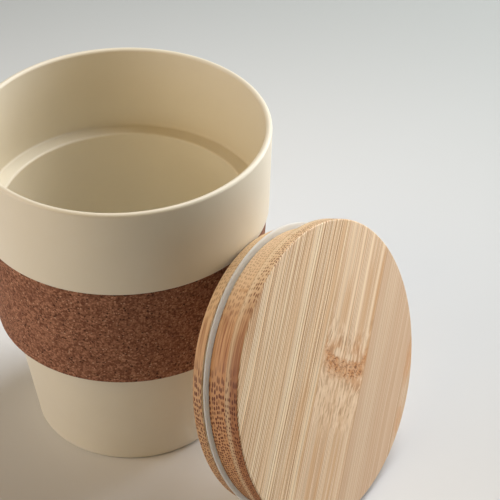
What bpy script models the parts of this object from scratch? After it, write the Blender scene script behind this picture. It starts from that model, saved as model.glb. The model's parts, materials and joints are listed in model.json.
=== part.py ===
"""Travel cup: a moulded cup with a cork sleeve, and a bamboo lid that leans against it.

Units are metres and +Z is up. The origin is the centre of the cup's flat base, and the lid
leans on the cup's +X side. Every piece is turned: a profile of (radius, height) points is
spun about its own Z axis. The lid's profiles have their zero on its outer face.
"""

import math

import bpy
from mathutils import Vector

# Resolution and clearances
STEPS = 64
ARC_POINTS = 3
CONTACT_GAP = 0.0003
WELD_DISTANCE = 0.00001
SHARP_ANGLE = math.radians(35.0)

# Cup: heights above the table
CUP_HEIGHT = 0.1065
LEDGE_HEIGHT = 0.0784
SHOULDER_HEIGHT = 0.0776
SLEEVE_BOTTOM = 0.0418
FLOOR_THICKNESS = 0.0030

# Cup: radii
RIM_RADIUS = 0.0450
COLLAR_BOTTOM_RADIUS = 0.0442
RECESS_TOP_RADIUS = 0.0400
RECESS_BOTTOM_RADIUS = 0.03715
BASE_RADIUS = 0.0318
BORE_MOUTH_RADIUS = 0.0430
BORE_LEDGE_RADIUS = 0.0428
LOWER_WALL = 0.0025

# Cup: roundings
RIM_ROUNDING = 0.0010
LEDGE_ROUNDING = 0.0008
COLLAR_ROUNDING = 0.0006
BASE_ROUNDING = 0.0016
FLOOR_FILLET = 0.0040

# Cork sleeve
SLEEVE_TOP_RADIUS = 0.0436
SLEEVE_BOTTOM_RADIUS = 0.0416
SLEEVE_ROUNDING = 0.0005

# Lid: distances from its outer face, and radii
FLANGE_THICKNESS = 0.0049
GROOVE_START = 0.0129
GROOVE_END = 0.0156
LID_THICKNESS = 0.0194
FLANGE_RADIUS = 0.04605
FLANGE_BACK_RADIUS = 0.0458
PLUG_RADIUS = 0.0424
GROOVE_RADIUS = 0.0395
LIP_END_RADIUS = 0.0419
FLANGE_ROUNDING = 0.0005
LIP_ROUNDING = 0.0006

# Seal ring
FIN_RADIUS = 0.0439
FIN_THICKNESS = 0.0008
FIN_ROUNDING = 0.00035
SEAL_BODY_RADIUS = 0.0415

# Lid at rest: how far its axis rises above level as it leans on the cup, and how far it stands to one side
LEAN_ANGLE = math.radians(17.0)
LID_SIDE_OFFSET = -0.0009

COLLECTION_NAME = "travel_cup"


def arc(radius_centre, height_centre, rounding, start_deg, end_deg):
    """Points of a circular arc in the (radius, height) plane."""
    points = []
    for index in range(ARC_POINTS + 1):
        angle = math.radians(start_deg + (end_deg - start_deg) * index / ARC_POINTS)
        radius = radius_centre + rounding * math.cos(angle)
        height = height_centre + rounding * math.sin(angle)
        points.append((radius, height))
    return points


def between(low_height, low_radius, high_height, high_radius, height):
    """Radius of a straight cone at a height."""
    share = (height - low_height) / (high_height - low_height)
    return low_radius + (high_radius - low_radius) * share


def lower_radius(height):
    """Outer radius of the cup's body below the collar."""
    if height >= SLEEVE_BOTTOM:
        return between(SLEEVE_BOTTOM, RECESS_BOTTOM_RADIUS, SHOULDER_HEIGHT, RECESS_TOP_RADIUS, height)
    return between(BASE_ROUNDING, BASE_RADIUS, SLEEVE_BOTTOM, RECESS_BOTTOM_RADIUS, height)


def collar_radius(height):
    """Outer radius of the collar above the sleeve."""
    return between(SHOULDER_HEIGHT, COLLAR_BOTTOM_RADIUS, CUP_HEIGHT, RIM_RADIUS, height)


def cup_profile():
    """From the inner floor's centre up the inside, over the rim, and down to the base's centre."""
    fillet_height = FLOOR_THICKNESS + FLOOR_FILLET
    fillet_radius = lower_radius(fillet_height) - LOWER_WALL - FLOOR_FILLET
    bore_radius = lower_radius(LEDGE_HEIGHT) - LOWER_WALL
    points = [(0.0, FLOOR_THICKNESS)]
    points += arc(fillet_radius, fillet_height, FLOOR_FILLET, -90, 0)
    points.append((lower_radius(SLEEVE_BOTTOM) - LOWER_WALL, SLEEVE_BOTTOM))
    points += arc(bore_radius + LEDGE_ROUNDING, LEDGE_HEIGHT - LEDGE_ROUNDING, LEDGE_ROUNDING, 180, 90)
    points += arc(BORE_LEDGE_RADIUS - LEDGE_ROUNDING, LEDGE_HEIGHT + LEDGE_ROUNDING, LEDGE_ROUNDING, -90, 0)
    rim_height = CUP_HEIGHT - RIM_ROUNDING
    points += arc(BORE_MOUTH_RADIUS + RIM_ROUNDING, rim_height, RIM_ROUNDING, 180, 90)
    points += arc(RIM_RADIUS - RIM_ROUNDING, rim_height, RIM_ROUNDING, 90, 0)
    collar_height = SHOULDER_HEIGHT + COLLAR_ROUNDING
    points += arc(COLLAR_BOTTOM_RADIUS - COLLAR_ROUNDING, collar_height, COLLAR_ROUNDING, 0, -90)
    points.append((RECESS_TOP_RADIUS, SHOULDER_HEIGHT))
    points.append((RECESS_BOTTOM_RADIUS, SLEEVE_BOTTOM))
    points += arc(BASE_RADIUS - BASE_ROUNDING, BASE_ROUNDING, BASE_ROUNDING, 0, -90)
    points.append((0.0, 0.0))
    return points


def sleeve_profile():
    """Round the sleeve's section, down its outer side first."""
    top = SHOULDER_HEIGHT - CONTACT_GAP
    rounding = SLEEVE_ROUNDING
    points = arc(SLEEVE_TOP_RADIUS - rounding, top - rounding, rounding, 90, 0)
    points += arc(SLEEVE_BOTTOM_RADIUS - rounding, SLEEVE_BOTTOM + rounding, rounding, 0, -90)
    points.append((lower_radius(SLEEVE_BOTTOM) + CONTACT_GAP, SLEEVE_BOTTOM))
    points.append((lower_radius(top) + CONTACT_GAP, top))
    return points


def lid_profile():
    """From the centre of the outer face, over the flange and the plug, to the centre of the underside."""
    points = [(0.0, 0.0)]
    points += arc(FLANGE_RADIUS - FLANGE_ROUNDING, -FLANGE_ROUNDING, FLANGE_ROUNDING, 90, 0)
    points.append((FLANGE_BACK_RADIUS, CONTACT_GAP - FLANGE_THICKNESS))
    points.append((FLANGE_BACK_RADIUS - CONTACT_GAP, -FLANGE_THICKNESS))
    points.append((PLUG_RADIUS, -FLANGE_THICKNESS))
    points.append((PLUG_RADIUS, -GROOVE_START))
    points.append((GROOVE_RADIUS, -GROOVE_START))
    points.append((GROOVE_RADIUS, -GROOVE_END))
    points.append((PLUG_RADIUS, -GROOVE_END))
    points += arc(LIP_END_RADIUS - LIP_ROUNDING, LIP_ROUNDING - LID_THICKNESS, LIP_ROUNDING, 0, -90)
    points.append((0.0, -LID_THICKNESS))
    return points


def seal_profile():
    """Round the seal's section: a body that fills the groove, and a thinner fin that stands out of it."""
    inner = GROOVE_RADIUS + CONTACT_GAP
    top = -GROOVE_START - CONTACT_GAP
    bottom = -GROOVE_END + CONTACT_GAP
    fin_bottom = top - FIN_THICKNESS
    points = [(inner, top)]
    points += arc(FIN_RADIUS - FIN_ROUNDING, top - FIN_ROUNDING, FIN_ROUNDING, 90, 0)
    points += arc(FIN_RADIUS - FIN_ROUNDING, fin_bottom + FIN_ROUNDING, FIN_ROUNDING, 0, -90)
    points.append((SEAL_BODY_RADIUS, fin_bottom))
    points.append((SEAL_BODY_RADIUS, bottom))
    points.append((inner, bottom))
    return points


def lid_rest_location():
    """Where the centre of the lid's outer face is, with the seal on the table and the lip on the collar."""
    rise = math.sin(LEAN_ANGLE)
    run = math.cos(LEAN_ANGLE)
    fin_depth = GROOVE_START + CONTACT_GAP + FIN_THICKNESS - FIN_ROUNDING
    height = fin_depth * rise + (FIN_RADIUS - FIN_ROUNDING) * run + FIN_ROUNDING
    lip_depth = LID_THICKNESS - LIP_ROUNDING
    lip_radius = LIP_END_RADIUS - LIP_ROUNDING
    contact_height = height - lip_depth * rise + lip_radius * run
    reach = collar_radius(contact_height) + CONTACT_GAP + LIP_ROUNDING
    return Vector((reach + lip_depth * run + lip_radius * rise, LID_SIDE_OFFSET, height))


def make_material(name, color, roughness, transmission=0.0):
    """A plain Principled material."""
    material = bpy.data.materials.new(name)
    material.use_nodes = True
    shader = material.node_tree.nodes["Principled BSDF"]
    shader.inputs["Base Color"].default_value = (*color, 1.0)
    shader.inputs["Roughness"].default_value = roughness
    shader.inputs["Metallic"].default_value = 0.0
    shader.inputs["Transmission Weight"].default_value = transmission
    material.diffuse_color = (*color, 1.0)
    return material


def turned(name, profile, material, collection, closed=False, parent=None):
    """A named solid made by spinning a profile about its own Z axis."""
    count = len(profile)
    edges = [(index, index + 1) for index in range(count - 1)]
    if closed:
        edges.append((count - 1, 0))
    outline = bpy.data.meshes.new(name + "_outline")
    outline.from_pydata([(radius, 0.0, height) for radius, height in profile], edges, [])
    piece = bpy.data.objects.new(name, outline)
    collection.objects.link(piece)
    screw = piece.modifiers.new("Spin", "SCREW")
    screw.axis = "Z"
    screw.angle = math.tau
    screw.steps = STEPS
    screw.render_steps = STEPS
    screw.use_merge_vertices = True
    screw.merge_threshold = WELD_DISTANCE
    bpy.context.view_layer.update()
    solid = bpy.data.meshes.new_from_object(piece.evaluated_get(bpy.context.evaluated_depsgraph_get()))
    piece.modifiers.clear()
    piece.data = solid
    bpy.data.meshes.remove(outline)
    solid.name = name
    solid.shade_smooth()
    solid.set_sharp_from_angle(angle=SHARP_ANGLE)
    solid.materials.append(material)
    piece.parent = parent
    return piece


def main():
    for old in list(bpy.data.objects):
        bpy.data.objects.remove(old, do_unlink=True)
    collection = bpy.data.collections.new(COLLECTION_NAME)
    bpy.context.scene.collection.children.link(collection)

    cream = make_material("cream_bioplastic", (0.72, 0.63, 0.47), 0.45)
    cork = make_material("cork", (0.22, 0.09, 0.045), 0.85)
    bamboo = make_material("bamboo", (0.66, 0.47, 0.28), 0.50)
    silicone = make_material("silicone", (0.62, 0.62, 0.58), 0.35, transmission=0.2)

    turned("cup_body", cup_profile(), cream, collection)
    turned("cork_sleeve", sleeve_profile(), cork, collection, closed=True)

    lid_axis = bpy.data.objects.new("lid_axis", None)
    lid_axis.empty_display_size = FLANGE_RADIUS
    lid_axis.location = lid_rest_location()
    lid_axis.rotation_euler = (0.0, math.pi / 2 - LEAN_ANGLE, 0.0)
    collection.objects.link(lid_axis)
    turned("bamboo_lid", lid_profile(), bamboo, collection, parent=lid_axis)
    turned("seal_ring", seal_profile(), silicone, collection, closed=True, parent=lid_axis)


main()
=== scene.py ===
"""Looks of the travel cup: fine turned meshes, procedural materials, and a soft studio.

Lengths are metres unless a name ends in _MM. Textures work in millimetres and stay with their
piece as it moves. The lid's own space has X across the bamboo's grain, Y along it and Z out of
its face.
"""

import json
import math

import bpy
from mathutils import Matrix, Vector, noise


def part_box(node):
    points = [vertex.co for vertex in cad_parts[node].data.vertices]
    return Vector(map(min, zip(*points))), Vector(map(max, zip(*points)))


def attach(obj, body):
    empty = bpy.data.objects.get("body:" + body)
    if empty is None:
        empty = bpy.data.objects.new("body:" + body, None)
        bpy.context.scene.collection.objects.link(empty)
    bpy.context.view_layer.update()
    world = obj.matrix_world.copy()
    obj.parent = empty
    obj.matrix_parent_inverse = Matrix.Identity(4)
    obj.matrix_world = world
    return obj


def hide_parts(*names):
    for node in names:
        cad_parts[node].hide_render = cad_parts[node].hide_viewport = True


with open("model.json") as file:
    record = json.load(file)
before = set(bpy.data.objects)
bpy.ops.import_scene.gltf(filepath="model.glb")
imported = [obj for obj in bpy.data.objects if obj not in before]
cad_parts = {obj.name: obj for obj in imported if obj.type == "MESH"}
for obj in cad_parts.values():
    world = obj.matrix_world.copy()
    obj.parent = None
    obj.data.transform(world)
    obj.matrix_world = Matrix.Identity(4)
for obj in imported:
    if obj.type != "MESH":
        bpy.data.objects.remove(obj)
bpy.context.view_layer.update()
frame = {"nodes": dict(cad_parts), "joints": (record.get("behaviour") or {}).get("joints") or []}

MM = 0.001
CLEARANCE = 0.3 * MM
ARC_POINTS = 8
ROUND_STEPS = 256
CORK_STEPS = 560
CORK_ROW = 0.5 * MM
SHARP_ANGLE = math.radians(30.0)
FLATNESS = 0.01 * MM

CUP_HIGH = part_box("cup_body")[1]
SLEEVE_LOW, SLEEVE_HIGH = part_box("cork_sleeve")

# Cup
CUP_HEIGHT = CUP_HIGH.z
RIM_RADIUS = CUP_HIGH.x
SLEEVE_BOTTOM = SLEEVE_LOW.z
SLEEVE_TOP = SLEEVE_HIGH.z
SLEEVE_TOP_RADIUS = SLEEVE_HIGH.x
SHOULDER_HEIGHT = SLEEVE_TOP + CLEARANCE
SLEEVE_BOTTOM_RADIUS = 41.6 * MM
COLLAR_BOTTOM_RADIUS = 44.2 * MM
RECESS_TOP_RADIUS = 40.0 * MM
RECESS_BOTTOM_RADIUS = 37.15 * MM
BASE_RADIUS = 31.8 * MM
BORE_MOUTH_RADIUS = 43.0 * MM
BORE_LEDGE_RADIUS = 42.8 * MM
LEDGE_HEIGHT = 78.4 * MM
FLOOR_THICKNESS = 3.0 * MM
LOWER_WALL = 2.5 * MM
RIM_ROUNDING = 1.0 * MM
LEDGE_ROUNDING = 0.8 * MM
COLLAR_ROUNDING = 0.6 * MM
BASE_ROUNDING = 1.6 * MM
FLOOR_FILLET = 4.0 * MM
SLEEVE_ROUNDING = 0.5 * MM
CORK_DENT = 0.10 * MM
CORK_LUMP = 0.03 * MM

# Lid
FLANGE_THICKNESS = 4.9 * MM
GROOVE_START = 12.9 * MM
GROOVE_END = 15.6 * MM
LID_THICKNESS = 19.4 * MM
FLANGE_RADIUS = (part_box("bamboo_lid")[1].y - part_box("bamboo_lid")[0].y) / 2
FLANGE_BACK_RADIUS = 45.8 * MM
PLUG_RADIUS = 42.4 * MM
GROOVE_RADIUS = 39.5 * MM
LIP_END_RADIUS = 41.9 * MM
FLANGE_ROUNDING = 0.5 * MM
LIP_ROUNDING = 0.6 * MM
FIN_RADIUS = (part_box("seal_ring")[1].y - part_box("seal_ring")[0].y) / 2
FIN_THICKNESS = 0.8 * MM
FIN_ROUNDING = 0.35 * MM
SEAL_BODY_RADIUS = 41.5 * MM
FIN_LEAN = 0.15 * MM
FIN_OVAL = 0.20 * MM
FIN_INSET = 0.05 * MM
GRAIN_ANGLE = math.radians(44.0)

# Bamboo board: glued layers and strips, fibre bundles, and the node mark on its outer face
LAYER_MM = 5.2
LAYER_SHIFT_MM = 9.7
STRIP_MM = 23.5
STRIP_EDGE_MM = -6.0
STRIP_BLUR_MM = 0.2
BUNDLE_MM = 0.66
BUNDLE_DEPTH_MM = 1.25 * BUNDLE_MM
BUNDLE_RANDOMNESS = 0.50
LINE_RANDOMNESS = 0.85
NODE_ACROSS_MM = 5.7
NODE_ALONG_MM = 2.8
NODE_HALF_WIDTH_MM = 11.7
NODE_END_RISE_MM = 6.0
NODE_END_POWER = 6.0

# Where a look of the board fades in, as (none, full): depths below its face, or places along
# the grain for its low side
TOP_LAYER_MM = (4.9, 2.0)
SKIN_MM = (3.8, 2.2)
CORE_MM = (5.2, 6.6)
# Painted shade behind the flange fades in and out over these depths.
STEP_SHADE_START_MM = (3.9, 4.7)
STEP_SHADE_END_MM = (8.0, 6.0)
LIP_MM = (13.8, 14.6)
# The low side's darker look is partly painted shade.
LOW_SIDE_MM = (24.0, -10.0)

# Camera
CAMERA_TARGET = Vector((0.0321, 0.0210, 0.0599))
CAMERA_AZIMUTH = math.radians(-56.86)
CAMERA_ELEVATION = math.radians(37.75)
CAMERA_DISTANCE = 0.5144
CAMERA_LENS = 118.8
SENSOR_WIDTH = 36.0

# Studio
FLOOR_HALF = 4.0
LIGHT_DISTANCE = 0.7
KEY_SIZE = 0.4
FILL_SIZE = 0.5
# Painted pool of light on the paper: full within the first reach, dimming to grey by the second, its
# middle moved toward the camera and to the left by the shifts.
PAINTED_POOL_REACH_MM = 80.0
PAINTED_DIM_REACH_MM = 390.0
PAPER_SHIFT_AHEAD_MM = 40.0
PAPER_SHIFT_RIGHT_MM = 50.0


# ---------------------------------------------------------------- turned shapes


def arc(radius_centre, height_centre, rounding, start_deg, end_deg):
    """Points of a circular arc in the (radius, height) plane."""
    points = []
    for index in range(ARC_POINTS + 1):
        angle = math.radians(start_deg + (end_deg - start_deg) * index / ARC_POINTS)
        radius = radius_centre + rounding * math.cos(angle)
        height = height_centre + rounding * math.sin(angle)
        points.append((radius, height))
    return points


def between(low_height, low_radius, high_height, high_radius, height):
    """Radius of a straight cone at a height."""
    share = (height - low_height) / (high_height - low_height)
    return low_radius + (high_radius - low_radius) * share


def lower_radius(height):
    """Outer radius of the cup's body below the collar."""
    if height >= SLEEVE_BOTTOM:
        return between(SLEEVE_BOTTOM, RECESS_BOTTOM_RADIUS, SHOULDER_HEIGHT, RECESS_TOP_RADIUS, height)
    return between(BASE_ROUNDING, BASE_RADIUS, SLEEVE_BOTTOM, RECESS_BOTTOM_RADIUS, height)


def cup_profile():
    """From the inner floor's centre up the inside, over the rim, and down to the base's centre."""
    fillet_height = FLOOR_THICKNESS + FLOOR_FILLET
    fillet_radius = lower_radius(fillet_height) - LOWER_WALL - FLOOR_FILLET
    bore_radius = lower_radius(LEDGE_HEIGHT) - LOWER_WALL
    rim_height = CUP_HEIGHT - RIM_ROUNDING
    collar_height = SHOULDER_HEIGHT + COLLAR_ROUNDING
    points = [(0.0, FLOOR_THICKNESS)]
    points += arc(fillet_radius, fillet_height, FLOOR_FILLET, -90, 0)
    points.append((lower_radius(SLEEVE_BOTTOM) - LOWER_WALL, SLEEVE_BOTTOM))
    points += arc(bore_radius + LEDGE_ROUNDING, LEDGE_HEIGHT - LEDGE_ROUNDING, LEDGE_ROUNDING, 180, 90)
    ledge_height = LEDGE_HEIGHT + LEDGE_ROUNDING
    points += arc(BORE_LEDGE_RADIUS - LEDGE_ROUNDING, ledge_height, LEDGE_ROUNDING, -90, 0)
    points += arc(BORE_MOUTH_RADIUS + RIM_ROUNDING, rim_height, RIM_ROUNDING, 180, 90)
    points += arc(RIM_RADIUS - RIM_ROUNDING, rim_height, RIM_ROUNDING, 90, 0)
    points += arc(COLLAR_BOTTOM_RADIUS - COLLAR_ROUNDING, collar_height, COLLAR_ROUNDING, 0, -90)
    points.append((RECESS_TOP_RADIUS, SHOULDER_HEIGHT))
    points.append((RECESS_BOTTOM_RADIUS, SLEEVE_BOTTOM))
    points += arc(BASE_RADIUS - BASE_ROUNDING, BASE_ROUNDING, BASE_ROUNDING, 0, -90)
    points.append((0.0, 0.0))
    return points


def sleeve_profile():
    """Round the sleeve's section, down its outer side first, with a row of points every CORK_ROW."""
    rounding = SLEEVE_ROUNDING
    top_arc = arc(SLEEVE_TOP_RADIUS - rounding, SLEEVE_TOP - rounding, rounding, 90, 0)
    bottom_arc = arc(SLEEVE_BOTTOM_RADIUS - rounding, SLEEVE_BOTTOM + rounding, rounding, 0, -90)
    top_radius, top_height = top_arc[-1]
    low_radius, low_height = bottom_arc[0]
    rows = round((top_height - low_height) / CORK_ROW)
    points = top_arc
    for row in range(1, rows):
        height = top_height + (low_height - top_height) * row / rows
        points.append((between(low_height, low_radius, top_height, top_radius, height), height))
    points += bottom_arc
    points.append((lower_radius(SLEEVE_BOTTOM) + CLEARANCE, SLEEVE_BOTTOM))
    points.append((lower_radius(SLEEVE_TOP) + CLEARANCE, SLEEVE_TOP))
    return points


def lid_profile():
    """From the centre of the outer face, over the flange and the plug, to the underside's centre."""
    points = [(0.0, 0.0)]
    points += arc(FLANGE_RADIUS - FLANGE_ROUNDING, -FLANGE_ROUNDING, FLANGE_ROUNDING, 90, 0)
    points.append((FLANGE_BACK_RADIUS, CLEARANCE - FLANGE_THICKNESS))
    points.append((FLANGE_BACK_RADIUS - CLEARANCE, -FLANGE_THICKNESS))
    points.append((PLUG_RADIUS, -FLANGE_THICKNESS))
    points.append((PLUG_RADIUS, -GROOVE_START))
    points.append((GROOVE_RADIUS, -GROOVE_START))
    points.append((GROOVE_RADIUS, -GROOVE_END))
    points.append((PLUG_RADIUS, -GROOVE_END))
    points += arc(LIP_END_RADIUS - LIP_ROUNDING, LIP_ROUNDING - LID_THICKNESS, LIP_ROUNDING, 0, -90)
    points.append((0.0, -LID_THICKNESS))
    return points


def seal_profile():
    """Round the seal's section: a body that fills the groove, and a thinner fin out of it."""
    inner = GROOVE_RADIUS + CLEARANCE
    top = -GROOVE_START - CLEARANCE
    bottom = -GROOVE_END + CLEARANCE
    fin_bottom = top - FIN_THICKNESS
    points = [(inner, top)]
    points += arc(FIN_RADIUS - FIN_ROUNDING, top - FIN_ROUNDING, FIN_ROUNDING, 90, 0)
    points += arc(FIN_RADIUS - FIN_ROUNDING, fin_bottom + FIN_ROUNDING, FIN_ROUNDING, 0, -90)
    points.append((SEAL_BODY_RADIUS, fin_bottom))
    points.append((SEAL_BODY_RADIUS, bottom))
    points.append((inner, bottom))
    return points


def turned(name, profile, steps, material, place=None, closed=False, shape=None):
    """A mesh spun from a profile about its own Z axis; points on the axis become single poles."""
    verts, rings = [], []
    for radius, height in profile:
        if radius < FLATNESS:
            rings.append([len(verts)])
            verts.append(Vector((0.0, 0.0, height)))
            continue
        rings.append(list(range(len(verts), len(verts) + steps)))
        for step in range(steps):
            angle = math.tau * step / steps
            verts.append(Vector((radius * math.cos(angle), radius * math.sin(angle), height)))
    pairs = list(zip(rings, rings[1:]))
    if closed:
        pairs.append((rings[-1], rings[0]))
    faces = []
    for upper, lower in pairs:
        for step in range(steps):
            following = (step + 1) % steps
            corners = [
                upper[step % len(upper)],
                lower[step % len(lower)],
                lower[following % len(lower)],
                upper[following % len(upper)],
            ]
            faces.append(list(dict.fromkeys(corners)))
    if shape:
        verts = [shape(point) for point in verts]
    if place:
        verts = [place @ point for point in verts]
    mesh = bpy.data.meshes.new(name)
    mesh.from_pydata(verts, [], faces)
    mesh.shade_smooth()
    mesh.set_sharp_from_angle(angle=SHARP_ANGLE)
    mesh.materials.append(material)
    piece = bpy.data.objects.new(name, mesh)
    bpy.context.scene.collection.objects.link(piece)
    return piece


# ---------------------------------------------------------------- material tools


def srgb(red, green, blue):
    """A linear colour from 0 to 255 display values."""
    channels = []
    for value in (red, green, blue):
        share = value / 255
        channels.append(share / 12.92 if share <= 0.04045 else ((share + 0.055) / 1.055) ** 2.4)
    return (*channels, 1.0)


class Graph:
    """Builds one node material round its Principled shader."""

    def __init__(self, name):
        self.material = bpy.data.materials.new(name)
        self.material.use_nodes = True
        self.nodes = self.material.node_tree.nodes
        self.links = self.material.node_tree.links
        self.shader = self.nodes["Principled BSDF"]

    def put(self, socket, value):
        """Links a socket to another node's output, or sets its number, vector or colour."""
        if isinstance(value, bpy.types.NodeSocket):
            self.links.new(value, socket)
        else:
            socket.default_value = value

    def finish(self, **inputs):
        """Feeds the Principled shader; an underscore in a name stands for a space."""
        for name, value in inputs.items():
            self.put(self.shader.inputs[name.replace("_", " ")], value)
        return self.material

    def place_mm(self):
        """A point's place at rest, in millimetres; it moves with the piece."""
        coordinates = self.nodes.new("ShaderNodeTexCoord")
        return self.scaled(coordinates.outputs["Object"], (1 / MM, 1 / MM, 1 / MM))

    def own_normal(self):
        """The surface normal at rest; it turns with the piece."""
        return self.nodes.new("ShaderNodeTexCoord").outputs["Normal"]

    def along(self, vector, direction):
        """How far a vector reaches along a direction."""
        node = self.nodes.new("ShaderNodeVectorMath")
        node.operation = "DOT_PRODUCT"
        self.put(node.inputs[0], vector)
        node.inputs[1].default_value = direction
        return node.outputs["Value"]

    def scaled(self, vector, factors):
        """A vector times three factors."""
        node = self.nodes.new("ShaderNodeVectorMath")
        node.operation = "MULTIPLY"
        self.put(node.inputs[0], vector)
        node.inputs[1].default_value = factors
        return node.outputs[0]

    def shifted(self, vector, offset):
        """A vector plus another."""
        node = self.nodes.new("ShaderNodeVectorMath")
        node.operation = "ADD"
        self.put(node.inputs[0], vector)
        self.put(node.inputs[1], offset)
        return node.outputs[0]

    def tinted(self, colour, factors):
        """A colour times three factors."""
        node = self.nodes.new("ShaderNodeMix")
        node.data_type = "RGBA"
        node.blend_type = "MULTIPLY"
        self.put(node.inputs["Factor"], 1.0)
        colours = [socket for socket in node.inputs if socket.type == "RGBA"]
        self.put(colours[0], colour)
        self.put(colours[1], (*factors, 1.0))
        return next(socket for socket in node.outputs if socket.type == "RGBA")

    def length(self, vector):
        """How long a vector is."""
        node = self.nodes.new("ShaderNodeVectorMath")
        node.operation = "LENGTH"
        self.put(node.inputs[0], vector)
        return node.outputs["Value"]

    def split(self, vector):
        """The three parts of a vector."""
        node = self.nodes.new("ShaderNodeSeparateXYZ")
        self.put(node.inputs[0], vector)
        return node.outputs

    def joined(self, x, y, z):
        """A vector made of three parts."""
        node = self.nodes.new("ShaderNodeCombineXYZ")
        for socket, value in zip(node.inputs, (x, y, z)):
            self.put(socket, value)
        return node.outputs[0]

    def math(self, operation, first, second=0.0, third=0.0):
        """One arithmetic step."""
        node = self.nodes.new("ShaderNodeMath")
        node.operation = operation
        for socket, value in zip(node.inputs, (first, second, third)):
            self.put(socket, value)
        return node.outputs[0]

    def times(self, *values):
        """The product of some values."""
        product = values[0]
        for value in values[1:]:
            product = self.math("MULTIPLY", product, value)
        return product

    def plus(self, *values):
        """The sum of some values."""
        total = values[0]
        for value in values[1:]:
            total = self.math("ADD", total, value)
        return total

    def minus(self, first, second):
        """The difference of two values."""
        return self.math("SUBTRACT", first, second)

    def over(self, first, second):
        """One value divided by another."""
        return self.math("DIVIDE", first, second)

    def size(self, value):
        """A value without its sign."""
        return self.math("ABSOLUTE", value)

    def step(self, value, low, high, out_low=0.0, out_high=1.0):
        """A smooth step from out_low at low to out_high at high."""
        node = self.nodes.new("ShaderNodeMapRange")
        node.interpolation_type = "SMOOTHSTEP"
        for socket, number in zip(node.inputs, (value, low, high, out_low, out_high)):
            self.put(socket, number)
        return node.outputs[0]

    def mix(self, factor, first, second):
        """A colour between two colours."""
        node = self.nodes.new("ShaderNodeMix")
        node.data_type = "RGBA"
        self.put(node.inputs["Factor"], factor)
        colours = [socket for socket in node.inputs if socket.type == "RGBA"]
        self.put(colours[0], first)
        self.put(colours[1], second)
        return next(socket for socket in node.outputs if socket.type == "RGBA")

    def noise(self, vector, scale=1.0, detail=2.0, roughness=0.5):
        """Smooth noise from about 0.2 to 0.8."""
        node = self.nodes.new("ShaderNodeTexNoise")
        self.put(node.inputs["Vector"], vector)
        for name, value in (("Scale", scale), ("Detail", detail), ("Roughness", roughness)):
            node.inputs[name].default_value = value
        return node.outputs["Fac"]

    def cells(self, vector, scale=1.0, randomness=1.0, flat=False):
        """Voronoi cells: the node's Distance and Color. Flat ones use two parts of the vector."""
        node = self.nodes.new("ShaderNodeTexVoronoi")
        node.voronoi_dimensions = "2D" if flat else "3D"
        self.put(node.inputs["Vector"], vector)
        node.inputs["Scale"].default_value = scale
        node.inputs["Randomness"].default_value = randomness
        return node.outputs

    def lines(self, value, spacing, half_width, softness):
        """Lines at random places along one axis: how much a point lies on one, and its number."""
        node = self.nodes.new("ShaderNodeTexVoronoi")
        node.voronoi_dimensions = "1D"
        self.put(node.inputs["W"], self.over(value, spacing))
        node.inputs["Randomness"].default_value = LINE_RANDOMNESS
        outside = half_width + softness / 2
        inside = max(0.0, half_width - softness / 2)
        on_line = self.step(node.outputs["Distance"], outside, inside)
        return on_line, self.split(node.outputs["Color"])[0]

    def patch(self, across, along, centre, half_width, low, high, side_softness, end_softness):
        """A soft-edged strip round a place across the grain, between two places along it."""
        aside = self.size(self.minus(across, centre))
        inside = self.step(aside, half_width + side_softness / 2, half_width - side_softness / 2)
        start = self.step(along, low - end_softness / 2, low + end_softness / 2)
        end = self.step(along, high + end_softness / 2, high - end_softness / 2)
        return self.times(inside, start, end)

    def blob(self, across, along, middle_across, middle_along, wide, tall, crumb):
        """A soft oval with a crumbly outline."""
        aside = self.over(self.minus(across, middle_across), wide)
        above = self.over(self.minus(self.plus(along, crumb), middle_along), tall)
        reach = self.plus(self.times(aside, aside), self.times(above, above))
        return self.step(reach, 2.0, 0.0)

    def bump(self, height, distance, strength=1.0):
        """A bumped normal; distance is the relief's height in metres."""
        node = self.nodes.new("ShaderNodeBump")
        self.put(node.inputs["Height"], height)
        node.inputs["Distance"].default_value = distance
        node.inputs["Strength"].default_value = strength
        return node.outputs[0]


# ---------------------------------------------------------------- colours

CREAM = srgb(229, 221, 201)
CREAM_PALE = srgb(231, 223, 203)
CREAM_FLECK = srgb(214, 200, 176)

CORK_DARK = srgb(108, 65, 46)
CORK_LIGHT = srgb(188, 136, 107)
CORK_SEAM = srgb(92, 54, 40)
CORK_PIT = srgb(52, 27, 19)
CORK_CHIP = srgb(214, 172, 142)

FACE_FIBRE = srgb(229, 198, 161)
FACE_FIBRE_PALE = srgb(240, 210, 176)
FACE_BROAD_STREAK = srgb(210, 168, 122)
LEFT_STRIP = srgb(255, 229, 189)
RIGHT_STRIP = srgb(208, 177, 147)
LINE_PALE = srgb(255, 246, 218)
LINE_THIN = srgb(196, 144, 98)
LINE_DARK = srgb(166, 112, 66)
STREAK_DARK = srgb(206, 158, 108)
STREAK_PALE = srgb(250, 226, 192)
GLUE_SEAM = srgb(172, 122, 78)

SIDE = srgb(224, 199, 164)
SIDE_DENSE = srgb(219, 189, 152)
# The low side's colours are darker partly for its end grain and partly as painted shade.
SIDE_LOW_SKIN = srgb(186, 132, 88)
SIDE_LOW_CORE = srgb(198, 150, 106)
SIDE_LIP = srgb(220, 189, 149)
SIDE_LOW_LIP = srgb(200, 160, 118)
# Painted shade behind the flange.
SIDE_STEP_SHADE = srgb(172, 128, 86)
SIDE_STREAK = srgb(140, 84, 52)
DOT = srgb(140, 98, 66)
# Low-side dot colour, partly painted shade, and a painted-shade tint for the low side.
DOT_LOW = srgb(98, 44, 24)
LOW_SIDE_SHADE_TINT = (0.80, 0.74, 0.70)
STREAK_TINT_DARK = (0.78, 0.66, 0.56)
STREAK_TINT_PALE = (1.05, 1.04, 1.02)

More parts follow.
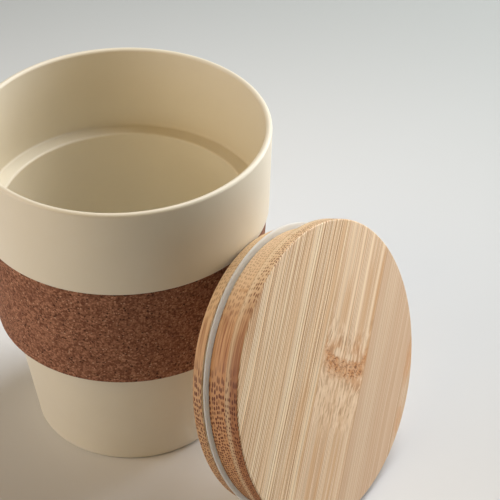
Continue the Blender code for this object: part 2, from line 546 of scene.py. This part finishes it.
NODE_AMBER = srgb(204, 148, 98)
NODE_POCKET = srgb(230, 204, 172)
NODE_FIBRE_DARK = srgb(176, 134, 96)
NODE_FIBRE_PALE = srgb(248, 222, 190)
NODE_BAND = srgb(202, 142, 88)
NODE_BAND_PALE = srgb(228, 186, 140)
NODE_FLECK = srgb(124, 72, 38)

SILICONE = srgb(232, 236, 230)
SILICONE_PALE = srgb(239, 242, 237)

PAPER = srgb(221, 223, 224)
PAPER_PALE = srgb(223, 225, 226)
# Painted dimming of the paper away from the pool of light.
PAPER_PAINTED_DIM = srgb(174, 179, 178)


# ---------------------------------------------------------------- materials


def cream_material():
    """Matte bioplastic: nearly even cream, with a faint cloudiness and a fine moulded grain."""
    g = Graph("cream_bioplastic")
    place = g.place_mm()
    clouds = g.step(g.noise(place, scale=0.06, detail=3.0), 0.35, 0.65)
    flecks = g.step(g.noise(place, scale=2.2, detail=1.0), 0.70, 0.80)
    colour = g.mix(clouds, CREAM, CREAM_PALE)
    colour = g.mix(g.times(flecks, 0.25), colour, CREAM_FLECK)
    grain = g.noise(place, scale=6.0, detail=2.0)
    roughness = g.step(grain, 0.3, 0.7, 0.38, 0.48)
    normal = g.bump(grain, 0.01 * MM, 0.3)
    return g.finish(Base_Color=colour, Roughness=roughness, Normal=normal, Specular_IOR_Level=0.65)


def cork_material():
    """Pressed cork: fine granules in close browns, with small dark pits and a few pale chips."""
    g = Graph("pressed_cork")
    place = g.place_mm()
    warp = g.scaled(g.cells(place, scale=2.3)["Color"], (0.2, 0.2, 0.2))
    granules = g.cells(g.shifted(place, warp), scale=1.6)
    shade = g.split(granules["Color"])
    mottle = g.noise(place, scale=1.8, detail=4.0, roughness=0.8)
    tone = g.plus(g.times(shade[0], 0.42), g.times(mottle, 0.6))
    colour = g.mix(g.step(tone, 0.20, 0.85), CORK_DARK, CORK_LIGHT)
    seam = g.step(granules["Distance"], 0.40, 0.75)
    colour = g.mix(g.times(seam, 0.40), colour, CORK_SEAM)

    pits = g.cells(place, scale=1.15)
    chips = g.cells(g.shifted(place, (7.3, 2.9, 5.1)), scale=1.3)
    pit_size = g.step(g.split(pits["Color"])[1], 0.62, 1.0, 0.0, 0.44)
    chip_size = g.step(g.split(chips["Color"])[2], 0.76, 1.0, 0.0, 0.40)
    dark = g.step(g.minus(pit_size, pits["Distance"]), -0.04, 0.06)
    pale = g.step(g.minus(chip_size, chips["Distance"]), -0.04, 0.06)
    colour = g.mix(g.times(dark, 0.8), colour, CORK_PIT)
    colour = g.mix(g.times(pale, 0.7), colour, CORK_CHIP)
    height = g.minus(g.minus(mottle, g.times(seam, 0.3)), dark)
    normal = g.bump(height, 0.10 * MM, 0.6)
    return g.finish(Base_Color=colour, Roughness=0.85, Normal=normal, Specular_IOR_Level=0.25)


class Board:
    """Where a point lies in the laminated board, in millimetres, and which fibres run there."""

    def __init__(self, g, place):
        self.g = g
        axes = [place.col[index].to_3d() for index in range(3)]
        offset = g.shifted(g.place_mm(), -place.translation / MM)
        self.across = g.along(offset, axes[0])
        self.along = g.along(offset, axes[1])
        self.depth = g.along(offset, -axes[2])
        self.facing_end = g.step(g.size(g.along(g.own_normal(), axes[1])), 0.05, 0.35)
        self.facing_out = g.step(g.size(g.along(g.own_normal(), axes[2])), 0.4, 0.8)
        self.find_node()
        self.bend_fibres()
        self.find_strips()
        self.cut_bundles()

    def find_node(self):
        """The node mark: a band with raised ends across the middle strip of the top layer."""
        g = self.g
        self.top_layer = g.step(self.depth, *TOP_LAYER_MM)
        self.middle = g.over(g.minus(self.across, NODE_ACROSS_MM), NODE_HALF_WIDTH_MM)
        rise = g.times(g.math("POWER", g.size(self.middle), NODE_END_POWER), NODE_END_RISE_MM)
        self.from_node = g.minus(self.along, g.plus(rise, NODE_ALONG_MM))
        self.in_strip = g.times(g.step(g.size(self.middle), 1.02, 0.98), self.top_layer)
        self.near_below = g.step(self.from_node, -24.0, -14.0)
        self.below = g.times(self.in_strip, self.near_below, g.step(self.from_node, 0.5, -1.0))

    def bend_fibres(self):
        """Fibres fan out above the node, wander below it, and sway a little everywhere."""
        g = self.g
        cube = g.times(self.middle, self.middle, self.middle)
        fan_reach = g.times(g.step(self.along, 13.0, 4.0), g.step(self.along, -6.0, 0.0))
        fan = g.times(g.times(cube, -2.3), g.times(fan_reach, self.in_strip))
        slow = g.noise(g.joined(g.over(self.across, 40.0), g.over(self.along, 60.0), 0.0))
        quick = g.noise(g.joined(g.over(self.across, 2.0), g.over(self.along, 3.2), 0.0))
        sway = g.times(g.minus(slow, 0.5), 1.6)
        wobble = g.times(g.minus(quick, 0.5), g.plus(g.times(self.below, 1.1), 0.06))
        self.fibre = g.plus(self.across, sway, wobble, fan)

    def find_strips(self):
        """Glued layers of strips; each layer's strips and fibres are shifted from the last."""
        g = self.g
        layer = g.math("FLOOR", g.plus(g.over(self.depth, LAYER_MM), 0.001))
        shift = g.times(layer, LAYER_SHIFT_MM)
        self.layer_fibre = g.plus(self.fibre, shift)
        strip_place = g.over(g.minus(g.plus(self.across, shift), STRIP_EDGE_MM), STRIP_MM)
        into_strip = g.math("FRACT", strip_place)
        start, end = g.step(into_strip, 0.014, 0.003), g.step(into_strip, 0.986, 0.997)
        self.seam = g.math("MAXIMUM", start, end)
        left, right = STRIP_EDGE_MM, STRIP_EDGE_MM + STRIP_MM
        self.on_left = g.step(self.across, left + STRIP_BLUR_MM, left - STRIP_BLUR_MM)
        self.on_right = g.step(self.across, right - STRIP_BLUR_MM, right + STRIP_BLUR_MM)

    def cut_bundles(self):
        """Bundles cut across are dark dots, dense and large in the skin and the core."""
        g = self.g
        self.low_side = g.step(self.along, *LOW_SIDE_MM)
        self.skin = g.step(self.depth, *SKIN_MM)
        self.core = g.step(self.depth, *CORE_MM)
        self.dense = g.math("MAXIMUM", self.skin, self.core)
        section_across = g.over(self.layer_fibre, BUNDLE_MM)
        section_depth = g.over(self.depth, BUNDLE_DEPTH_MM)
        section = g.joined(section_across, section_depth, 0.0)
        bundle = g.cells(section, randomness=BUNDLE_RANDOMNESS, flat=True)
        low_growth = g.times(self.dense, g.times(self.low_side, 0.05))
        size = g.plus(0.22, g.times(self.dense, 0.08), low_growth)
        dots = g.step(g.minus(size, bundle["Distance"]), -0.10, 0.08)
        self.dots = g.times(dots, g.step(g.split(bundle["Color"])[0], 0.0, 0.3, 0.45, 1.0))


def bamboo_face_colour(g, board, fine, fade):
    """The board's faces: fine fibres, strips of three shades, and long dark and pale lines."""
    fibre = board.layer_fibre
    left_gain, right_loss = g.times(board.on_left, 0.38), g.times(board.on_right, 0.20)
    crisp = g.plus(0.62, g.minus(left_gain, right_loss))
    crisp = g.times(crisp, g.minus(1.0, g.times(board.below, 0.75)))
    dark_line, dark_pick = g.lines(fibre, 1.90, 0.31, 0.14)
    thin_line, thin_pick = g.lines(fibre, 0.95, 0.20, 0.20)
    pale_line, pale_pick = g.lines(g.plus(fibre, 5.3), 1.80, 0.34, 0.22)
    dark_strength = g.times(dark_line, g.step(dark_pick, 0.0, 0.7, 0.35, 1.0))
    thin_strength = g.times(thin_line, g.step(thin_pick, 0.2, 0.9))
    pale_strength = g.times(pale_line, g.step(pale_pick, 0.1, 0.8))
    dark = g.times(dark_strength, g.step(fade, 0.30, 0.60, 0.65, 1.0))
    thin = g.times(thin_strength, g.step(fade, 0.65, 0.35, 0.5, 1.0))
    pale = g.times(pale_strength, g.step(fade, 0.25, 0.55, 0.5, 1.0))

    broad_place = g.joined(g.times(board.fibre, 0.32), g.over(board.along, 45.0), 0.0)
    broad = g.step(g.noise(broad_place, detail=3.0), 0.46, 0.66)
    colour = g.mix(g.step(fine, 0.32, 0.68), FACE_FIBRE, FACE_FIBRE_PALE)
    colour = g.mix(g.times(board.on_left, 0.85), colour, LEFT_STRIP)
    colour = g.mix(g.times(broad, 0.45), colour, FACE_BROAD_STREAK)
    colour = g.mix(g.times(board.on_right, 0.7), colour, RIGHT_STRIP)
    colour = g.mix(g.times(pale, crisp, 0.95), colour, LINE_PALE)
    colour = g.mix(g.times(thin, crisp, 0.18), colour, LINE_THIN)
    return g.mix(g.times(dark, crisp), colour, LINE_DARK)


def bamboo_side_colour(g, board):
    """The turned sides: streaks where they run with the grain, dots where they cut across it, a band
    of painted shade behind the flange, and a low side darker partly for its grain and partly from
    painted shade.
    """
    low_side, dense, depth = board.low_side, board.dense, board.depth
    base = g.mix(dense, SIDE, SIDE_DENSE)
    # The low side is darker: partly a denser, darker end grain, and partly painted shade on the lid's
    # lower side.
    base = g.mix(g.times(board.skin, low_side), base, SIDE_LOW_SKIN)
    # Painted shade: a darkening tint over the whole low side.
    base = g.mix(low_side, base, g.tinted(base, LOW_SIDE_SHADE_TINT))
    base = g.mix(g.times(board.core, low_side), base, SIDE_LOW_CORE)
    base = g.mix(g.step(depth, *LIP_MM), base, g.mix(low_side, SIDE_LIP, SIDE_LOW_LIP))
    # Painted shade: a darker band along the step behind the flange, where the flange shades the plug.
    corner = g.times(g.step(depth, *STEP_SHADE_START_MM), g.step(depth, *STEP_SHADE_END_MM))
    base = g.mix(g.times(corner, 0.55), base, SIDE_STEP_SHADE)

    streak_place = g.joined(g.times(depth, 1.9), g.over(board.along, 16.0), g.over(board.across, 9.0))
    streak = g.noise(streak_place, detail=3.0)
    dark, pale = g.tinted(base, STREAK_TINT_DARK), g.tinted(base, STREAK_TINT_PALE)
    streaked = g.mix(g.step(streak, 0.42, 0.58), dark, pale)
    streaked = g.mix(g.times(g.step(streak, 0.42, 0.34), dense, 0.7), streaked, SIDE_STREAK)

    # The low side's darker dots are partly painted shade.
    dot_colour = g.mix(low_side, DOT, DOT_LOW)
    dot_place = g.math("MAXIMUM", low_side, g.times(board.skin, 0.9))
    dot_amount = g.step(dot_place, 0.0, 1.0, 0.45, 0.95)
    dotted = g.mix(g.times(board.dots, dot_amount), base, dot_colour)
    return g.mix(board.facing_end, streaked, dotted)


def with_streaks(g, board, fade, colour):
    """The outer face's own dark and pale streaks."""
    along = board.along
    uneven = g.noise(g.joined(g.times(board.across, 0.9), g.over(along, 12.0), 0.0), detail=2.0)
    ragged = g.plus(along, g.times(g.minus(uneven, 0.5), 22.0))
    frayed = g.plus(board.fibre, g.times(g.minus(fade, 0.5), 1.6))
    # across, half width, low and high end along the grain, strength
    for centre, half, low, high, amount in (
        (0.4, 1.5, 12.0, 28.0, 0.50),
        (11.2, 1.4, 12.0, 34.0, 0.40),
        (16.4, 0.7, 2.0, 40.0, 0.60),
        (-8.3, 1.0, 8.0, 50.0, 0.55),
        (-11.8, 1.5, -26.0, -3.0, 0.45),
        (-6.4, 0.5, -34.0, 2.0, 0.60),
        (0.0, 1.0, -50.0, -20.0, 0.60),
        (4.4, 0.7, -50.0, -22.0, 0.55),
        (11.4, 0.6, -50.0, -18.0, 0.45),
    ):
        mark = g.patch(frayed, ragged, centre, half, low, high, 1.2 * half, 12.0)
        colour = g.mix(g.times(mark, board.top_layer, amount), colour, STREAK_DARK)
    # across, half width, strength
    for centre, half, amount in (
        (3.2, 0.55, 0.75),
        (8.4, 0.5, 0.75),
        (14.9, 0.5, 0.6),
        (-3.0, 0.9, 0.5),
    ):
        mark = g.patch(board.fibre, ragged, centre, half, 2.0, 60.0, half, 6.0)
        colour = g.mix(g.times(mark, board.top_layer, amount), colour, STREAK_PALE)
    return colour


def with_node(g, board, colour):
    """The node: amber blobs and pale pockets above an amber band with dark flecks."""
    across, along, from_node = board.across, board.along, board.from_node
    ragged = g.noise(g.joined(across, along, 9.0), scale=0.55, detail=3.0)
    crumb = g.times(g.minus(ragged, 0.5), 3.4)
    short_place = g.joined(g.times(board.fibre, 1.3), g.times(along, 0.24), 3.0)
    short = g.noise(short_place, detail=3.0)
    fibrous = g.step(short, 0.40, 0.58, 0.45, 1.0)
    # middle across and along the grain, half width and height, strength
    for middle_across, middle_along, wide, tall, amount in (
        (5.7, 3.6, 12.5, 5.0, 0.30),
        (0.2, 9.0, 2.6, 2.0, 0.70),
        (-2.8, 6.4, 1.4, 3.2, 0.75),
        (11.2, 8.6, 2.8, 4.6, 0.75),
        (16.2, 5.8, 1.3, 4.8, 0.80),
        (14.6, -0.4, 3.0, 2.6, 0.70),
        (42.6, 12.0, 2.0, 8.0, 0.70),
        (43.0, -8.0, 1.6, 5.0, 0.60),
    ):
        mark = g.blob(across, along, middle_across, middle_along, wide, tall, crumb)
        colour = g.mix(g.times(mark, fibrous, board.top_layer, amount), colour, NODE_AMBER)
    for middle_across, middle_along, wide, tall in ((0.9, 6.7, 1.6, 1.3), (8.2, 6.0, 1.2, 1.5)):
        small_crumb = g.times(crumb, 0.5)
        mark = g.blob(across, along, middle_across, middle_along, wide, tall, small_crumb)
        colour = g.mix(g.times(mark, board.top_layer, 0.9), colour, NODE_POCKET)

    near = g.times(board.in_strip, g.times(board.near_below, g.step(from_node, 16.0, 8.0)))
    colour = g.mix(g.times(near, g.step(short, 0.52, 0.62), 0.60), colour, NODE_FIBRE_DARK)
    colour = g.mix(g.times(near, g.step(short, 0.46, 0.36), 0.60), colour, NODE_FIBRE_PALE)

    edge = g.plus(from_node, g.times(crumb, 1.2))
    band = g.times(board.in_strip, g.times(g.step(edge, -4.6, -1.2), g.step(edge, 3.0, 1.6)))
    patchy = g.noise(g.joined(across, along, 4.0), scale=0.45, detail=2.0)
    strong_band = g.times(band, g.step(patchy, 0.38, 0.60, 0.45, 1.0))
    fleck_along = g.times(g.plus(along, g.times(crumb, 0.8)), 1.8)
    squiggle = g.noise(g.joined(g.times(across, 0.75), fleck_along, 0.0), detail=2.0)
    flecked = g.times(strong_band, g.step(g.size(board.middle), 1.0, 0.75, 0.25, 1.0))
    colour = g.mix(g.times(strong_band, 0.95), colour, NODE_BAND)
    colour = g.mix(g.times(band, g.step(squiggle, 0.46, 0.36), 0.50), colour, NODE_BAND_PALE)
    return g.mix(g.times(flecked, g.step(squiggle, 0.50, 0.62), 0.90), colour, NODE_FLECK)


def bamboo_material(place):
    """Laminated bamboo, as a solid: fibres run along the grain, in glued layers of strips."""
    g = Graph("laminated_bamboo")
    board = Board(g, place)
    fine_depth = g.times(board.depth, 2.6)
    fine_place = g.joined(g.times(board.fibre, 2.6), g.over(board.along, 18.0), fine_depth)
    fine = g.noise(fine_place, detail=3.0)
    fade = g.noise(g.joined(g.times(board.fibre, 0.8), g.over(board.along, 22.0), 0.0))
    side_colour = bamboo_side_colour(g, board)
    face_colour = bamboo_face_colour(g, board, fine, fade)
    colour = g.mix(board.facing_out, side_colour, face_colour)
    colour = g.mix(g.times(board.seam, 0.40), colour, GLUE_SEAM)
    colour = with_streaks(g, board, fade, colour)
    colour = with_node(g, board, colour)
    relief = g.minus(fine, g.times(board.dots, 0.6))
    normal = g.bump(relief, 0.02 * MM, 0.5)
    roughness = g.step(fine, 0.3, 0.7, 0.48, 0.60)
    return g.finish(Base_Color=colour, Roughness=roughness, Normal=normal, Specular_IOR_Level=0.35)


def silicone_material():
    """Milky translucent silicone with a faint bloom of dust."""
    g = Graph("milky_silicone")
    place = g.place_mm()
    bloom = g.noise(place, scale=0.8, detail=4.0)
    colour = g.mix(bloom, SILICONE, SILICONE_PALE)
    roughness = g.step(bloom, 0.3, 0.7, 0.36, 0.48)
    normal = g.bump(g.noise(place, scale=3.0), 0.01 * MM, 0.3)
    return g.finish(
        Base_Color=colour,
        Roughness=roughness,
        Normal=normal,
        IOR=1.41,
        Transmission_Weight=0.30,
        Subsurface_Weight=0.9,
        Subsurface_Radius=(1.0, 1.0, 1.0),
        Subsurface_Scale=4.0 * MM,
    )


def paper_material():
    """Pale seamless paper with a faint random tone, under a painted pool of light that is palest by
    the cup's left foot and dims to grey away from it.
    """
    g = Graph("studio_paper")
    place = g.place_mm()
    ahead = -direction(CAMERA_AZIMUTH, 0.0)
    right = Vector((ahead.y, -ahead.x, 0.0))
    away = g.length(g.shifted(place, PAPER_SHIFT_AHEAD_MM * ahead + PAPER_SHIFT_RIGHT_MM * right))
    colour = g.mix(g.noise(place, scale=0.004, detail=2.0), PAPER, PAPER_PALE)
    # Painted light: a pool of light by the cup's left foot, dimming to grey further out.
    painted_dimming = g.step(away, PAINTED_POOL_REACH_MM, PAINTED_DIM_REACH_MM)
    colour = g.mix(painted_dimming, colour, PAPER_PAINTED_DIM)
    return g.finish(Base_Color=colour, Roughness=0.9, Specular_IOR_Level=0.1)


# ---------------------------------------------------------------- pieces


def moved_out(point, push):
    """A point moved straight away from the Z axis."""
    factor = 1 + push / math.hypot(point.x, point.y)
    return Vector((point.x * factor, point.y * factor, point.z))


def cork_surface(point):
    """Pushes a point of the sleeve's outer side in and out, as pressed granules lie."""
    outer = between(SLEEVE_BOTTOM, SLEEVE_BOTTOM_RADIUS, SLEEVE_TOP, SLEEVE_TOP_RADIUS, point.z)
    if math.hypot(point.x, point.y) < outer - SLEEVE_ROUNDING:
        return point
    place = point / MM
    granule = noise.voronoi(place * 0.9)[0][0]
    lump = noise.noise(place * 0.35)
    return moved_out(point, CORK_LUMP * (lump - 1.0) - CORK_DENT * granule)


def seal_surface(point):
    """Lets the soft fin sit a little proud at the leaning lid's top, and a little in at its sides."""
    if math.hypot(point.x, point.y) < SEAL_BODY_RADIUS + CLEARANCE:
        return point
    from_top = math.atan2(point.y, point.x) - math.radians(90.0) - GRAIN_ANGLE
    wave = FIN_LEAN * math.cos(from_top) + FIN_OVAL * math.cos(2 * from_top)
    return moved_out(point, wave - FIN_INSET)


def lid_place():
    """The lid's own space: origin at the centre of its outer face, Z out of it, Y along the grain."""
    out = Vector(frame["joints"][0]["axis"]).normalized()
    corners = [vertex.co for vertex in frame["nodes"]["bamboo_lid"].data.vertices]
    reach = max(corner.dot(out) for corner in corners)
    face = [corner for corner in corners if reach - corner.dot(out) < FLATNESS]
    low = Vector(min(corner[axis] for corner in face) for axis in range(3))
    high = Vector(max(corner[axis] for corner in face) for axis in range(3))
    centre = (low + high) / 2
    level = Vector((0.0, 0.0, 1.0)).cross(out).normalized()
    slope = out.cross(level)
    grain = slope * math.cos(GRAIN_ANGLE) + level * math.sin(GRAIN_ANGLE)
    across = grain.cross(out)
    rotation = Matrix((across, grain, out)).transposed()
    return Matrix.Translation(centre) @ rotation.to_4x4()


def build_pieces():
    """The four pieces, each in place of its CAD node."""
    place = lid_place()
    cup = turned("cup_body_fine", cup_profile(), ROUND_STEPS, cream_material())
    sleeve = turned(
        "cork_sleeve_fine",
        sleeve_profile(),
        CORK_STEPS,
        cork_material(),
        closed=True,
        shape=cork_surface,
    )
    lid = turned("bamboo_lid_fine", lid_profile(), ROUND_STEPS, bamboo_material(place), place=place)
    seal = turned(
        "seal_ring_fine",
        seal_profile(),
        ROUND_STEPS,
        silicone_material(),
        place=place,
        closed=True,
        shape=seal_surface,
    )
    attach(cup, "cup")
    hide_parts("cup_body")
    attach(sleeve, "cup")
    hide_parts("cork_sleeve")
    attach(lid, "lid")
    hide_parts("bamboo_lid")
    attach(seal, "lid")
    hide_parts("seal_ring")


# ---------------------------------------------------------------- studio


def build_floor():
    """A wide pale floor."""
    corners = [(-FLOOR_HALF, -FLOOR_HALF), (FLOOR_HALF, -FLOOR_HALF)]
    corners += [(FLOOR_HALF, FLOOR_HALF), (-FLOOR_HALF, FLOOR_HALF)]
    mesh = bpy.data.meshes.new("floor")
    mesh.from_pydata([(x, y, 0.0) for x, y in corners], [], [(0, 1, 2, 3)])
    floor = bpy.data.objects.new("floor", mesh)
    mesh.materials.append(paper_material())
    bpy.context.scene.collection.objects.link(floor)


def direction(azimuth, elevation):
    """The unit vector at an angle round the Z axis and an angle above level."""
    level = math.cos(elevation)
    return Vector((math.cos(azimuth) * level, math.sin(azimuth) * level, math.sin(elevation)))


def aim(thing, azimuth, elevation, distance):
    """Sets a camera or a light at a distance from the target, looking at it."""
    back = direction(azimuth, elevation)
    thing.location = CAMERA_TARGET + back * distance
    thing.rotation_euler = back.to_track_quat("Z", "Y").to_euler()
    bpy.context.scene.collection.objects.link(thing)


def soft_light(name, azimuth_deg, elevation_deg, size, power, colour):
    """A square soft box aimed at the cup; azimuth is counted from the camera, to its right."""
    data = bpy.data.lights.new(name, "AREA")
    data.shape = "SQUARE"
    data.size = size
    data.energy = power
    data.color = colour
    light = bpy.data.objects.new(name, data)
    azimuth = CAMERA_AZIMUTH + math.radians(azimuth_deg)
    aim(light, azimuth, math.radians(elevation_deg), LIGHT_DISTANCE)


def build_lights():
    """A key from behind on the right, low and high, a warm one beside it, and a fill on the left."""
    soft_light("key_low", 120, 15, KEY_SIZE, 3.4, (0.86, 0.90, 0.98))
    soft_light("key_high", 137, 60, KEY_SIZE, 4.2, (0.96, 0.97, 0.98))
    soft_light("right_warm", 100, 30, KEY_SIZE, 1.4, (1.0, 0.82, 0.58))
    soft_light("left_low", -75, 12, FILL_SIZE, 2.15, (0.84, 0.86, 0.94))
    soft_light("left_warm", -60, 35, FILL_SIZE, 1.6, (1.0, 0.68, 0.30))
    world = bpy.data.worlds.new("room")
    bpy.context.scene.world = world
    world.use_nodes = True
    world.node_tree.nodes["Background"].inputs["Strength"].default_value = 0.0


def build_camera():
    """The camera, above and in front of the cup's lid side."""
    data = bpy.data.cameras.new("camera")
    data.lens = CAMERA_LENS
    data.sensor_width = SENSOR_WIDTH
    camera = bpy.data.objects.new("camera", data)
    aim(camera, CAMERA_AZIMUTH, CAMERA_ELEVATION, CAMERA_DISTANCE)
    bpy.context.scene.camera = camera


build_camera()
build_pieces()
build_floor()
build_lights()
bpy.context.scene.view_settings.view_transform = "Standard"
